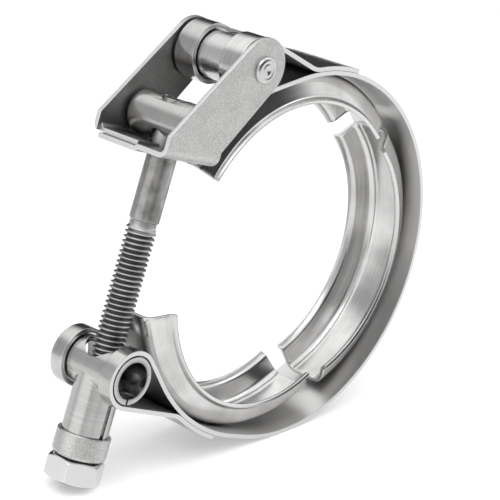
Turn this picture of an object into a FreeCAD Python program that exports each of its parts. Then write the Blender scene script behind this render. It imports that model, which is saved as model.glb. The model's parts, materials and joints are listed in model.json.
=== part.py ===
import math
import os

import FreeCAD
import Part

os.makedirs("parts", exist_ok=True)

V = FreeCAD.Vector
Y_AXIS = V(0, 1, 0)

# Frame: origin on the ring's axis at mid width, +Y along that axis away from the near side,
# +X to the right, +Z up with the clamp standing on its band and its nut.

# ring and band strip
band_outer_r = 38.5      # outside of the strip where it follows the ring
band_t = 0.9             # strip thickness
band_w = 16.7            # strip width along the ring's axis
lap_gap = 0.03           # air between the strip and its folded-back ends
fold_r = 6.0             # bend where a folded-back end comes to lie on the ring
open_dx = -3.9           # how far the sprung-open lower left part of the ring sits outwards
open_dz = 1.85
stand_turn = 7.0         # turn about the ring's axis that sets band and nut on the ground
over = 3.0               # how far a cutting body runs past what it cuts

# cross tube, bush and the loops of the strip around them
tube_r = 4.75            # outside radius of the cross tube and of the hinge bush
tube_wall = 1.1
loop_gap = 0.3           # air between a loop and what turns in it
low_dir = 191.69         # direction of the lower loop's axis from the ring's, before the turn
low_rise = 3.833         # how far the lower loop's inside stands off the ring's outside
top_dir = 105.806
top_rise = 1.607
low_leave = 242.0        # direction, seen from the loop's axis, where the lower tail leaves it
top_leave = 55.0         # direction where the upper flap leaves its loop
tail_end = 236.7         # ring angle where the lower tail ends
flap_end = 65.0          # ring angle where the upper flap ends
low_slot_gap = 0.6       # air beside the stem in the slot that parts the lower loop in two
low_slot_past_bolt = 1.0
low_slot_past_stem = 1.3
top_slot_gap = 0.5       # air beside the bolt, were it swung up into the upper loop's slot
top_slot_past = 2.2
top_slot_turn = 25.0
weld_r = 1.5             # spot weld nuggets that hold the folded ends
low_weld_in = 4.0        # ring angle from an end of the strip to its welds
top_weld_in = 5.0

# V retainers, each one bent sheet, curved tighter than the strip and welded to it at one spot
seg_t = 0.8
seg_bite = 0.01          # weld bite into the strip
seg_base_half = 3.1      # flat half width of the base
seg_bend_r = 1.6         # shoulder bend on the sheet's middle
seg_flank = 20.0         # flank angle from the ring's plane
seg_flank_len = 3.2
seg_lip_r = 1.2          # bend from flank to lip
seg_lip_turn = 40.0      # how far the lip flares away from the flank
seg_lip_len = 0.9

# for each retainer: the weld's direction, how much smaller its curve's radius is than the
# strip's, and start and end of the curve seen from its own centre
low_weld = 251.5
low_tight = 3.8
low_start = 178.5
low_end = 289.8
side_weld = 337.5
side_tight = 4.0
side_start = 282.0
side_end = 395.1
upper_weld = 103.0
upper_tight = 2.2
upper_start = 32.6
upper_end = 135.9

# bolt
thread_r = 3.0
shank_under = 0.07       # the plain shank and the neck are this much smaller than the thread
neck_under = 0.4
bar_arm = 17.12          # distance from the hinge to the cross bar's axis
bar_dir = 209.92         # its direction, before the standing turn
plain_len = 19.6         # plain shank below the cross bar's axis
neck_len = 1.1
neck_slope = 0.3
bolt_tip = -15.0         # level of the bolt's lower end, inside the nut
tip_bevel = 0.7
bar_r = 4.4
bar_dome = 1.5
bar_end_gap = 0.35       # air between the cross bar's ends and the latch
bar_recess_gap = 0.97    # wide recess in the cross bar around the shank
bar_recess_top = -0.8    # its roof, measured from the bar's axis
head_set = 0.35          # how far the shank's riveted end lies below the bar's crown

# latch, two bent side plates whose webs overlap under the cross bar
latch_side_gap = 0.5     # air between the strip's edges and the side plates
latch_t = 1.0
latch_bend = 1.0         # inside bend between plate and web
latch_end_r = 5.8        # rounded upper end of the side plates
latch_end_off = 0.5      # its centre, forward of the rivet
plate_skew = 1.3         # the plates' back edge against the line from hinge to cross bar
plate_flare = 2.3        # how far the front edge spreads from the back edge
seat_gap = 0.2           # air between cross bar and web in the loosened state shown
web_front = -9.7
web_back = 4.8
web_relief = 3.2         # back edge of the web between the plates
web_relief_in = 1.45     # how far that recess stays off the side plates
slot_gap = 0.45          # air beside the bolt in the web's slot
slot_front = -3.6
step_y = 2.6             # where the near web steps down under the far one
step_rise = 0.5
step_r = 0.6
step_turn = 45.0
web_end_in = 0.85        # how far the near web ends before the far plate
far_web_gap = 0.3        # air between the step and the far web's free edge
far_web_set = 1.0        # how much the far web stands back from the near one

# hinge
rivet_r = 2.0
rivet_lip = 0.65         # how much wider than the pin the formed heads are
rivet_head_h = 0.8
rivet_crown = 0.55       # rounding of the heads
rivet_dish_r = 0.75      # dimple in the heads
rivet_dish_slope = 0.35
rivet_dish_h = 0.22

# trunnion, collar and nut
stem_r = 4.6
stem_wall = 0.85
stem_len = 17.2          # from the cross tube's axis to the stem's end
mouth_gap = 1.3          # air around the bolt where it enters the cross tube
seam_half = 0.2
seam_keep = 0.6          # the tube's seam stops this far from the stem
stem_seam_half = 0.45
stem_seam_down = 0.4     # the stem's seam starts this far below the tube
collar_wall = 0.7
collar_grip = 4.2        # length of the collar on the stem
collar_floor = 0.7
collar_lip_gap = 0.26    # air around the nut's barrel in the collar's rolled-in lip
collar_round = 0.9
collar_edge = 0.15
nut_gap = 0.15           # air between collar and hexagon
barrel_gap = 0.06        # running air around the nut's barrel in the stem
nut_reach = 0.8          # how far the barrel reaches above the cross tube's axis
nut_flats = 10.0
nut_hex_h = 4.75
thread_gap = 0.06        # running air between the bolt and the nut's thread
hex_land_in = 0.35       # how far the bevel's land lies inside the flats
hex_slope = 30.0
nut_flare = 0.6
nut_flare_h = 0.5
nut_flare_lip = 0.1


def unit(deg):
    return V(math.cos(math.radians(deg)), 0, math.sin(math.radians(deg)))


def angle_of(v):
    return math.degrees(math.atan2(v.z, v.x)) % 360.0


# sizes that follow from the ones above
loop_in_r = tube_r + loop_gap
tube_bore_r = tube_r - tube_wall
stem_bore_r = stem_r - stem_wall
shank_r = thread_r - shank_under
neck_r = thread_r - neck_under
low_axis = unit(low_dir) * (band_outer_r + loop_in_r + low_rise)
top_axis = unit(top_dir) * (band_outer_r + loop_in_r + top_rise)
bar_axis = top_axis + unit(bar_dir) * bar_arm
bar_level = (bar_axis - low_axis).Length
bolt_lean = 90.0 - angle_of(bar_axis - low_axis)
latch_in = band_w / 2 + latch_side_gap
bar_half = latch_in - bar_end_gap
web_top = bar_level - bar_r - seat_gap
stem_end = -stem_len
collar_end = stem_end - collar_floor
nut_hex_top = collar_end - nut_gap
nut_end = nut_hex_top - nut_hex_h


def save(shape, name):
    """Turn the shape into the standing position and write it."""
    out = shape.copy()
    out.rotate(V(0, 0, 0), Y_AXIS, -stand_turn)
    out = out.removeSplitter() if name != "barrel_nut" else out
    out.exportStep("parts/" + name + ".step")


def prism(points, y0, y1):
    """Flat outline in the X Z plane carried from y0 to y1."""
    ring = [V(x, y0, z) for x, z in points]
    face = Part.Face(Part.makePolygon(ring + [ring[0]]))
    return face.extrude(V(0, y1 - y0, 0))


def rod(r, z0, z1):
    return Part.makeCylinder(r, z1 - z0, V(0, 0, z0), V(0, 0, 1))


def cross_rod(r, y0, y1, x=0.0, z=0.0):
    return Part.makeCylinder(r, y1 - y0, V(x, y0, z), Y_AXIS)


def spin(profile, axis):
    """Closed outline of (radius, height) points turned into a solid about Z or Y."""
    if axis == "z":
        pts = [V(r, 0, h) for r, h in profile]
        line = V(0, 0, 1)
    else:
        pts = [V(r, h, 0) for r, h in profile]
        line = V(0, 1, 0)
    face = Part.Face(Part.makePolygon(pts + [pts[0]]))
    solid = face.revolve(V(0, 0, 0), line, 360)
    if solid.Volume < 0:
        solid.reverse()
    return solid


def to_link(shape):
    """Local bolt frame, z up the bolt and origin on the lower loop's axis, to the clamp."""
    out = shape.copy()
    out.rotate(V(0, 0, 0), Y_AXIS, bolt_lean)
    out.translate(low_axis)
    return out


def from_link(v):
    c = math.cos(math.radians(bolt_lean))
    s = math.sin(math.radians(bolt_lean))
    dx = v.x - low_axis.x
    dz = v.z - low_axis.z
    return V(dx * c - dz * s, 0, dx * s + dz * c)


class Strip:
    """Outline of a bent strip of constant thickness, grown piece by piece along its middle."""

    def __init__(self, half):
        self.half = half
        self.side = {1: [], -1: []}

    def arc(self, centre, r, a0, a1):
        mid = 0.5 * (a0 + a1)
        turn = 1 if a1 > a0 else -1
        for s in (1, -1):
            rr = r - s * turn * self.half
            pts = [centre + unit(a) * rr for a in (a0, mid, a1)]
            self.side[s].append(Part.Arc(*pts).toShape())

    def line(self, p0, p1):
        d = (p1 - p0).normalize()
        left = V(-d.z, 0, d.x)
        for s in (1, -1):
            off = left * (s * self.half)
            self.side[s].append(Part.makeLine(p0 + off, p1 + off))

    def face(self):
        left = self.side[1]
        right = self.side[-1]
        first = [e.valueAt(e.FirstParameter) for e in (left[0], right[0])]
        last = [e.valueAt(e.LastParameter) for e in (left[-1], right[-1])]
        ends = [Part.makeLine(*first), Part.makeLine(*last)]
        return Part.Face(Part.Wire(Part.__sortEdges__(left + right + ends)))


def crossing(c1, r1, c2, r2, first):
    """Inner tangent of two circles: its direction angle seen from the first centre."""
    d = c2 - c1
    lift = math.degrees(math.acos((r1 + r2) / d.Length))
    return angle_of(d) + first * lift


def fold(centre, r_loop, leave, heading, ring_c, r_lap):
    """Straight run off a loop and the bend that lays it on the ring."""
    n = unit(leave)
    h = unit(heading)
    start = centre + n * (r_loop + fold_r) - ring_c
    b = start.dot(h)
    c = start.dot(start) - (r_lap + fold_r) ** 2
    root = math.sqrt(b * b - c)
    s = -b - root
    bend_c = ring_c + start + h * s
    return bend_c, angle_of(bend_c - ring_c)


def band_strip():
    half = band_t / 2
    ring_r = band_outer_r - half
    lap_r = ring_r + band_t + lap_gap
    loop_r = loop_in_r + half
    ring_c = V(0, 0, 0)
    low_ring = V(open_dx, 0, open_dz)
    low = low_axis
    top = top_axis

    s = Strip(half)
    bend_c, join = fold(low, loop_r, low_leave, low_leave + 90, low_ring, lap_r)
    s.arc(low_ring, lap_r, tail_end, join)
    s.arc(bend_c, fold_r, join - 180, low_leave - 180)
    s.line(bend_c - unit(low_leave) * fold_r, low + unit(low_leave) * loop_r)
    off_low = crossing(low_ring, ring_r, low, loop_r, 1)
    s.arc(low, loop_r, low_leave, off_low - 180)
    s.line(low - unit(off_low) * loop_r, low_ring + unit(off_low) * ring_r)
    shift = angle_of(V(-open_dx, 0, -open_dz)) - 90
    shift = shift % 360
    s.arc(low_ring, ring_r, off_low, shift)
    s.line(low_ring + unit(shift) * ring_r, ring_c + unit(shift) * ring_r)
    off_top = crossing(ring_c, ring_r, top, loop_r, -1)
    s.arc(ring_c, ring_r, shift, off_top + 360)
    s.line(ring_c + unit(off_top) * ring_r, top - unit(off_top) * loop_r)
    s.arc(top, loop_r, off_top + 180, top_leave)
    bend_c, join_t = fold(top, loop_r, top_leave, top_leave - 90, ring_c, lap_r)
    s.line(top + unit(top_leave) * loop_r, bend_c - unit(top_leave) * fold_r)
    s.arc(bend_c, fold_r, top_leave + 180, join_t + 180)
    s.arc(ring_c, lap_r, join_t, flap_end)

    face = s.face()
    face.translate(V(0, -band_w / 2, 0))
    body = face.extrude(V(0, band_w, 0))

    reach = loop_in_r + band_t + over
    wide = stem_r + low_slot_gap
    upper = Part.makeBox(reach + shank_r + low_slot_past_bolt, 2 * wide, reach, V(-reach, -wide, 0))
    lower = Part.makeBox(reach + stem_r + low_slot_past_stem, 2 * wide, reach, V(-reach, -wide, -reach))
    body = body.cut(to_link(upper.fuse(lower)))
    wide = shank_r + top_slot_gap
    slot = Part.makeBox(reach + top_slot_past, 2 * wide, 2 * reach, V(-reach, -wide, -reach))
    slot.rotate(V(0, 0, 0), Y_AXIS, top_slot_turn)
    slot.translate(top)
    body = body.cut(slot)

    for centre, angle in ((low_ring, tail_end - low_weld_in), (ring_c, flap_end + top_weld_in)):
        for y in (-band_w / 4, band_w / 4):
            foot = centre + unit(angle) * ring_r + V(0, y, 0)
            body = body.fuse(Part.makeCylinder(weld_r, band_t, foot, unit(angle)))
    return body


def section_side(sign, tight):
    """Half of a retainer's section: base, shoulder bend, flank, lip bend and lip, outer and inner line."""
    half = seg_t / 2
    outer = []
    inner = []
    base_r = band_outer_r - band_t + seg_bite - tight - half
    at = [base_r, 0.0]
    heading = 90.0

    def point(r, y):
        return V(r, sign * y, 0)

    def line(length):
        t = math.radians(heading)
        d = (math.cos(t), math.sin(t))
        for store, k in ((outer, half), (inner, -half)):
            n = (d[1] * k, -d[0] * k)
            a = point(at[0] + n[0], at[1] + n[1])
            b = point(at[0] + n[0] + d[0] * length, at[1] + n[1] + d[1] * length)
            store.append(Part.makeLine(a, b))
        at[0] += d[0] * length
        at[1] += d[1] * length

    def bend(r, turn):
        t = math.radians(heading)
        way = 1 if turn > 0 else -1
        c = (at[0] - way * math.sin(t) * r, at[1] + way * math.cos(t) * r)
        for store, k in ((outer, half), (inner, -half)):
            rr = r + way * k
            pts = []
            for part in (0.0, 0.5, 1.0):
                g = math.radians(heading - way * 90 + turn * part)
                pts.append(point(c[0] + rr * math.cos(g), c[1] + rr * math.sin(g)))
            store.append(Part.Arc(*pts).toShape())
        g = math.radians(heading - way * 90 + turn)
        at[0] = c[0] + r * math.cos(g)
        at[1] = c[1] + r * math.sin(g)
        return heading + turn

    line(seg_base_half)
    heading = bend(seg_bend_r, 90 - seg_flank)
    line(seg_flank_len)
    heading = bend(seg_lip_r, -seg_lip_turn)
    line(seg_lip_len)
    ends = [e[-1].valueAt(e[-1].LastParameter) for e in (outer, inner)]
    return outer + inner + [Part.makeLine(*ends)]


def retainer(start, end, weld, tight, ring_centre):
    """One V retainer: a bent sheet section swept round its own centre."""
    edges = section_side(1, tight) + section_side(-1, tight)
    face = Part.Face(Part.Wire(Part.__sortEdges__(edges)))
    face.rotate(V(0, 0, 0), Y_AXIS, -start)
    body = face.revolve(V(0, 0, 0), V(0, -1, 0), end - start)
    body.translate(ring_centre + unit(weld) * tight)
    return body


def plate_outline(y0, y1, web_level):
    """Side view of the latch in the bolt frame: rounded end on the hinge, square foot."""
    hinge = from_link(top_axis)
    run = bar_dir + plate_skew + bolt_lean
    t_back = unit(run)
    t_front = unit(run - plate_flare)
    mid = hinge + unit(run - 90) * latch_end_off
    front = mid + unit(run - plate_flare - 90) * latch_end_r
    back = mid - unit(run - 90) * latch_end_r
    f_hit = front + t_front * ((front.x - web_front) / -t_front.x)
    b_hit = back + t_back * ((back.x - web_back) / -t_back.x)
    edges = [Part.Arc(front, mid - t_back * latch_end_r, back).toShape()]
    path = [back, b_hit, V(web_back, 0, web_level), V(web_front, 0, web_level), f_hit, front]
    for a, b in zip(path[:-1], path[1:]):
        edges.append(Part.makeLine(a, b))
    face = Part.Face(Part.Wire(edges))
    face.translate(V(0, y0, 0))
    return face.extrude(V(0, y1 - y0, 0))


def latch_half(near):
    """Side plate, bend and web in one sheet, cut to the side view, slot and hinge hole."""
    hinge = from_link(top_axis)
    out = latch_in + latch_t
    high = hinge.z + latch_end_r + over
    reach = hinge.Length
    low_web = web_top - 3 * latch_t
    s = Strip(latch_t / 2)
    mid_y = latch_in + latch_t / 2
    mid_z = web_top - latch_t / 2
    if near:
        mid_z -= latch_t - step_rise
    bend_mid = latch_bend + latch_t / 2
    corner = V(mid_y - bend_mid, 0, mid_z + bend_mid)
    s.line(V(mid_y, 0, high), V(mid_y, 0, corner.z))
    s.arc(corner, bend_mid, 0, -90)
    flat = 2 * step_r * (1 - math.cos(math.radians(step_turn)))
    run = (step_rise - flat) / math.sin(math.radians(step_turn))
    c1 = V(step_y, 0, mid_z - step_r)
    p1 = c1 + unit(90 + step_turn) * step_r
    p2 = p1 + unit(180 + step_turn) * run
    c2 = p2 + unit(90 + step_turn) * step_r
    if near:
        s.line(V(corner.x, 0, mid_z), V(step_y, 0, mid_z))
        s.arc(c1, step_r, 90, 90 + step_turn)
        s.line(p1, p2)
        s.arc(c2, step_r, step_turn - 90, -90)
        s.line(c2 + unit(-90) * step_r, V(web_end_in - latch_in, 0, mid_z - step_rise))
    else:
        s.line(V(corner.x, 0, mid_z), V(far_web_gap - c2.x, 0, mid_z))
    face = s.face()
    face.rotate(V(0, 0, 0), V(0, 0, 1), 90)
    face.translate(V(-reach, 0, 0))
    body = face.extrude(V(2 * reach, 0, 0))
    if near:
        body = body.mirror(V(0, 0, 0), Y_AXIS)
    body = body.common(plate_outline(-out - over, out + over, low_web))
    tall = 3 * latch_t + over
    relief_half = latch_in - web_relief_in
    slot_half = thread_r + slot_gap
    slot_mid = slot_front + slot_half
    relief = Part.makeBox(reach, 2 * relief_half, tall, V(web_relief, -relief_half, low_web))
    slot = Part.makeBox(reach, 2 * slot_half, tall, V(slot_mid, -slot_half, low_web))
    slot = slot.fuse(Part.makeCylinder(slot_half, tall, V(slot_mid, 0, low_web)))
    body = body.cut(relief).cut(slot)
    if not near:
        rise = 3 * latch_t + latch_bend
        set_back = Part.makeBox(far_web_set + over, 2 * latch_in, rise, V(web_front - over, -latch_in, low_web))
        body = body.cut(set_back)
    body = body.cut(cross_rod(rivet_r, -out - over, out + over, hinge.x, hinge.z))
    return to_link(body)


def rounding(r, crown, h0, h):
    """Quarter round at the end of a turned piece: radius r shrinks by crown while h0 grows by h."""
    steps = 5
    pts = []
    for i in range(steps + 1):
        t = math.radians(90.0 * i / steps)
        pts.append((r - crown * (1 - math.cos(t)), h0 + h * math.sin(t)))
    return pts


def hinge_rivet():
    out = latch_in + latch_t
    end = out + rivet_head_h
    head = rounding(rivet_r + rivet_lip, rivet_crown, out, rivet_head_h)
    head += [(rivet_dish_r + rivet_dish_slope, end), (rivet_dish_r, end - rivet_dish_h)]
    head += [(0, end - rivet_dish_h)]
    far = [(r, -h) for r, h in reversed(head)]
    body = spin([(rivet_r, out)] + head + far + [(rivet_r, -out)], "y")
    return body.translate(top_axis)


def hinge_bush():
    body = cross_rod(loop_in_r - loop_gap, -latch_in, latch_in)
    return body.cut(cross_rod(rivet_r, -latch_in, latch_in)).translate(top_axis)


def bolt_shank():
    head = bar_level + bar_r - head_set
    neck_top = bar_level - plain_len
    profile = [(0, bolt_tip), (thread_r - tip_bevel, bolt_tip), (thread_r, bolt_tip + tip_bevel)]
    profile += [(thread_r, neck_top - neck_len), (neck_r, neck_top - neck_len + neck_slope)]
    profile += [(shank_r, neck_top), (shank_r, head), (0, head)]
    return to_link(spin(profile, "z"))


def cross_bar():
    end = rounding(bar_r, bar_dome, bar_half - bar_dome, bar_dome)
    body = spin(end + [(0, bar_half), (0, -bar_half)] + [(r, -h) for r, h in reversed(end)], "y")
    body = body.cut(rod(shank_r, -bar_r - over, bar_r + over))
    body = body.cut(rod(shank_r + bar_recess_gap, -bar_r - over, bar_recess_top))
    body.translate(V(0, 0, bar_level))
    return to_link(body)


def trunnion():
    half = band_w / 2
    body = cross_rod(tube_r, -half, half).fuse(rod(stem_r, stem_end, 0))
    body = body.cut(cross_rod(tube_bore_r, -half - over, half + over))
    body = body.cut(rod(stem_bore_r, stem_end - over, 0))
    body = body.cut(rod(thread_r + mouth_gap, 0, tube_r + over))
    foot = V(-seam_half, -half - over, -tube_r - over)
    slit = Part.makeBox(2 * seam_half, band_w + 2 * over, tube_wall + 2 * over, foot)
    body = body.cut(slit.cut(rod(stem_r + seam_keep, -tube_r - 2 * over, 0)))
    start = V(-stem_seam_half, -stem_r - over, stem_end - over)
    seam_h = -tube_r - stem_seam_down - start.z
    body = body.cut(Part.makeBox(2 * stem_seam_half, stem_wall + 2 * over, seam_h, start))
    return to_link(body)


def stem_collar():
    top = stem_end + collar_grip
    wide = stem_r + collar_wall
    lip = stem_bore_r - barrel_gap + collar_lip_gap
    profile = [(lip, collar_end), (lip, stem_end), (stem_r, stem_end)]
    profile += [(stem_r, top), (wide - collar_edge, top), (wide, top - collar_edge)]
    profile += rounding(wide, collar_round, collar_end + collar_round, -collar_round)
    return to_link(spin(profile, "z"))


def barrel_nut():
    bore = thread_r + thread_gap
    corner_r = nut_flats / math.sqrt(3)
    land = nut_flats / 2 - hex_land_in
    ring = [unit(30 + 60 * i) * corner_r for i in range(6)]
    ring = [V(p.x, p.z, nut_end) for p in ring]
    body = Part.Face(Part.makePolygon(ring + [ring[0]])).extrude(V(0, 0, nut_hex_h))
    wide = corner_r + over
    rise = (wide - land) * math.tan(math.radians(hex_slope))
    lens = [(0, nut_end), (land, nut_end), (wide, nut_end + rise)]
    lens += [(wide, nut_hex_top - rise), (land, nut_hex_top), (0, nut_hex_top)]
    body = body.common(spin(lens, "z"))
    body = body.fuse(rod(stem_bore_r - barrel_gap, nut_hex_top - nut_hex_h / 2, nut_reach))
    body = body.cut(rod(bore, nut_end - over, nut_reach + over))
    mouth = nut_end - nut_flare_lip
    flare = [(0, mouth), (bore + nut_flare, mouth), (bore, nut_end + nut_flare_h)]
    flare.append((0, nut_end + nut_flare_h))
    body = body.cut(spin(flare, "z"))
    return to_link(body)


parts = {
    "band_strip": band_strip(),
    "retainer_lower": retainer(low_start, low_end, low_weld, low_tight, V(open_dx, 0, open_dz)),
    "retainer_side": retainer(side_start, side_end, side_weld, side_tight, V(0, 0, 0)),
    "retainer_upper": retainer(upper_start, upper_end, upper_weld, upper_tight, V(0, 0, 0)),
    "latch_near_half": latch_half(True),
    "latch_far_half": latch_half(False),
    "hinge_rivet": hinge_rivet(),
    "hinge_bush": hinge_bush(),
    "bolt_shank": bolt_shank(),
    "cross_bar": cross_bar(),
    "trunnion": trunnion(),
    "stem_collar": stem_collar(),
    "barrel_nut": barrel_nut(),
}
for node, shape in parts.items():
    save(shape, node)
    box = shape.BoundBox
    print(node, "solids", len(shape.Solids), "valid", shape.isValid(), "volume %.1f" % shape.Volume,
          "box %.1f %.1f %.1f" % (box.XLength, box.YLength, box.ZLength))
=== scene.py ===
# %% [markdown]
# # A V band clamp, dressed for its portrait
# The clamp is a stainless ring of strip with three V retainers inside it, a folding latch at the
# top and a T-bolt with a barrel nut at the side. Its solids are already made. This lesson gives
# them rounded edges, a real screw thread and the different finishes that rolled, pressed, tumbled
# and turned steel have, and then sets up a plain studio.

# %% Load the model
import json
import math

import bmesh
import bpy
import numpy as np
from mathutils import Matrix, Vector


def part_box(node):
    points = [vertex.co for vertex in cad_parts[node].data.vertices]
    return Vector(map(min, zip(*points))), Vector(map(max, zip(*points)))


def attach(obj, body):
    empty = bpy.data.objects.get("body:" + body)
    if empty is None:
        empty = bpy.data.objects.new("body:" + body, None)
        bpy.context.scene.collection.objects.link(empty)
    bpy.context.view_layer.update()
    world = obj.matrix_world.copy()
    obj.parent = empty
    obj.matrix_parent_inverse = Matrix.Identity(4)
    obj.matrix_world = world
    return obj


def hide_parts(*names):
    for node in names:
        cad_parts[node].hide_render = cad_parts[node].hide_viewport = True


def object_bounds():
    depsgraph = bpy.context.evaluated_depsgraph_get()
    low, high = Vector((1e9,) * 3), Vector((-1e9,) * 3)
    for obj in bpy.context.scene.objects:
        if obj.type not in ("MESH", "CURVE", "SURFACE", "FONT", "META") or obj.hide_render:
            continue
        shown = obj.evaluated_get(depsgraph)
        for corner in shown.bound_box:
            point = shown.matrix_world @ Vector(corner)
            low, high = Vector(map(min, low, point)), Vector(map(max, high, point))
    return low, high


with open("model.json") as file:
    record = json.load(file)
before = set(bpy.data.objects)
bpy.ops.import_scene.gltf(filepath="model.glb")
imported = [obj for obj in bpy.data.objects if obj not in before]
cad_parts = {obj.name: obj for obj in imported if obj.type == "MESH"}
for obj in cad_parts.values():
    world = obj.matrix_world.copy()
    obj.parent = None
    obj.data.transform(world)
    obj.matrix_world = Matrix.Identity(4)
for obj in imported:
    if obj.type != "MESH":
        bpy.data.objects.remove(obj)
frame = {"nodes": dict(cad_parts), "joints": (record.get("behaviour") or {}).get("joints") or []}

MM = 0.001
scene = bpy.context.scene
model_box = [list(corner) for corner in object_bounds()]
print("model box in mm", [[round(v / MM, 1) for v in corner] for corner in model_box])

# %% [markdown]
# ## The lines that everything else hangs on
# The ring's axis is Y. The bolt leans in the plane of X and Z, from the lower loop's axis towards
# the latch. A direction and two points are enough to place every turned piece on it. They could
# be typed in, but read from the model's joints they can't drift away from the solids.

# %% Axes of the bolt and of the hinge
joints = {j["name"]: j for j in frame["joints"]}
lower_axis = np.array(joints["bolt_swing"]["pos_m"], float)
hinge_axis = np.array(joints["latch_swing"]["pos_m"], float)
up_bolt = np.array(joints["bolt_travel"]["axis"], float)
up_bolt /= np.linalg.norm(up_bolt)
side = np.array([0.0, 1.0, 0.0])
across = np.cross(side, up_bolt)
print("bolt leans", round(math.degrees(math.atan2(up_bolt[0], up_bolt[2])), 2), "degrees")

# %% [markdown]
# ## Edges
# Nothing that was sheared, pressed and tumbled has a razor edge. The solids come as loose
# triangles, which a renderer shades as facets. A copy whose triangles are joined can be shaded
# smooth, and a narrow Bevel on its sharp edges gives the bright line that shows an edge to the
# eye. Moving vertices by hand would do the same, but a modifier stays easy to change. Wide faces
# keep their own normal with Weighted Normal, or the bevels would bend the light across them.

# %% A joined, softened copy of a solid
JOIN_WITHIN = 0.002 * MM
FLAT_WITHIN = math.radians(0.4)
SHARP = math.radians(32.0)
FACE_WEIGHT = 60


def softened(node, body, width):
    """Copy of a solid with its loose triangles joined and every edge over SHARP rounded."""
    mesh = frame["nodes"][node].data.copy()
    bm = bmesh.new()
    bm.from_mesh(mesh)
    bmesh.ops.remove_doubles(bm, verts=bm.verts, dist=JOIN_WITHIN)
    bmesh.ops.dissolve_limit(bm, angle_limit=FLAT_WITHIN, verts=bm.verts, edges=bm.edges)
    bm.to_mesh(mesh)
    bm.free()
    mesh.materials.clear()
    mesh.polygons.foreach_set("use_smooth", np.ones(len(mesh.polygons), bool))
    mesh.set_sharp_from_angle(angle=SHARP)
    piece = bpy.data.objects.new(node + "_finish", mesh)
    scene.collection.objects.link(piece)
    edge = piece.modifiers.new("soft edges", "BEVEL")
    edge.width = width * MM
    edge.segments = 2
    edge.limit_method = "ANGLE"
    edge.angle_limit = SHARP
    edge.use_clamp_overlap = False
    even = piece.modifiers.new("even shading", "WEIGHTED_NORMAL")
    even.mode = "FACE_AREA"
    even.weight = FACE_WEIGHT
    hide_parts(node)
    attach(piece, body)
    print(node, len(mesh.polygons), "faces")
    return piece


# %% Soften eight of the pieces
pieces = {}
for node, body, width in (
    ("band_strip", "band", 0.10),
    ("latch_near_half", "latch", 0.12),
    ("latch_far_half", "latch", 0.12),
    ("hinge_bush", "latch", 0.12),
    ("cross_bar", "bolt", 0.12),
    ("trunnion", "trunnion_block", 0.10),
    ("stem_collar", "trunnion_block", 0.08),
    ("barrel_nut", "nut", 0.08),
):
    pieces[node] = softened(node, body, width)

# %% [markdown]
# ## The V retainers
# A retainer is a strip of sheet folded to a V channel and rolled to an arc. Its section has a flat
# base, two shoulder bends, two flanks and two flared lips. It could be a softened copy too, but
# sweeping its section round an axis gives true curves where the solid has facets, and they show
# most in long, polished bends. The sheared ends and the lips are dressed on the real piece, so the
# section has rounded lips, and the last few rings at either end shrink it to round that edge too.

# %% Sizes of a retainer, in millimetres and degrees
STRIP_IN_R = 37.6
WELD_BITE = 0.01
SHEET = 0.8
BASE_HALF = 2.4
SHOULDER_R = 2.6
SHOULDER_STEPS = 9
FLANK_TILT = 20.0
FLANK = 2.5
LIP_R = 1.2
LIP_TURN = 40.0
LIP_STEPS = 6
LIP = 0.9
EDGE_R = 0.16
STAND_TURN = 7.0
ARC_STEP = 1.5
ROUND = np.radians([0, 30, 60, 90])
print("each rounded edge has", len(ROUND), "rows of points")


# %% Middle line of half a section
def half_section():
    """Middle line of half the sheet as (radius offset, width) points with its normals.
    A heading is turned by each bend in equal steps, and each stretch adds length along it."""
    lengths = [BASE_HALF]
    turns = [0.0]
    for radius, turn, steps, straight in (
        (SHOULDER_R, 90.0 - FLANK_TILT, SHOULDER_STEPS, FLANK),
        (LIP_R, -LIP_TURN, LIP_STEPS, LIP),
    ):
        lengths += [radius * math.radians(abs(turn)) / steps] * steps + [straight]
        turns += [turn / steps] * steps + [0.0]
    lengths = np.array(lengths)
    turns = np.radians(turns)
    before = math.pi / 2 + np.concatenate([[0.0], np.cumsum(turns)[:-1]])
    heading = before + turns / 2
    strides = lengths[:, None] * np.stack([np.cos(heading), np.sin(heading)], -1)
    points = np.concatenate([[[0.0, 0.0]], np.cumsum(strides, axis=0)])
    face = np.concatenate([[math.pi / 2], before + turns])
    normals = np.stack([np.sin(face), -np.cos(face)], -1)
    return points, normals


print("lips are", round(2 * half_section()[0][-1, 1], 1), "mm apart")


# %% Outline of a whole section
def section_outline(shrink):
    """Outline in two halves, outer and inner face: middle line plus and minus half a thickness
    along the normal, with a quarter circle at each lip corner; shrink draws every side in."""
    points, normals = half_section()
    middle = np.concatenate([(points * (1, -1))[:0:-1], points])
    out = np.concatenate([(normals * (1, -1))[:0:-1], normals])
    half = SHEET / 2 - shrink
    ends = np.array([middle[0] - middle[1], middle[-1] - middle[-2]])
    ends /= np.linalg.norm(ends, axis=1)[:, None]

    def corner(end, normal, tip):
        over_sheet = normal * (half - EDGE_R + EDGE_R * np.cos(ROUND))[:, None]
        along_sheet = end * (EDGE_R * np.sin(ROUND) - shrink - EDGE_R)[:, None]
        return tip + over_sheet + along_sheet

    faces = []
    for way in (1, -1):
        first = corner(ends[0], way * out[0], middle[0])[::-1]
        last = corner(ends[1], way * out[-1], middle[-1])
        faces.append(np.concatenate([first, middle[1:-1] + way * out[1:-1] * half, last]))
    return faces


print("an outline has", 2 * len(section_outline(0.0)[0]), "points")


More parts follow.
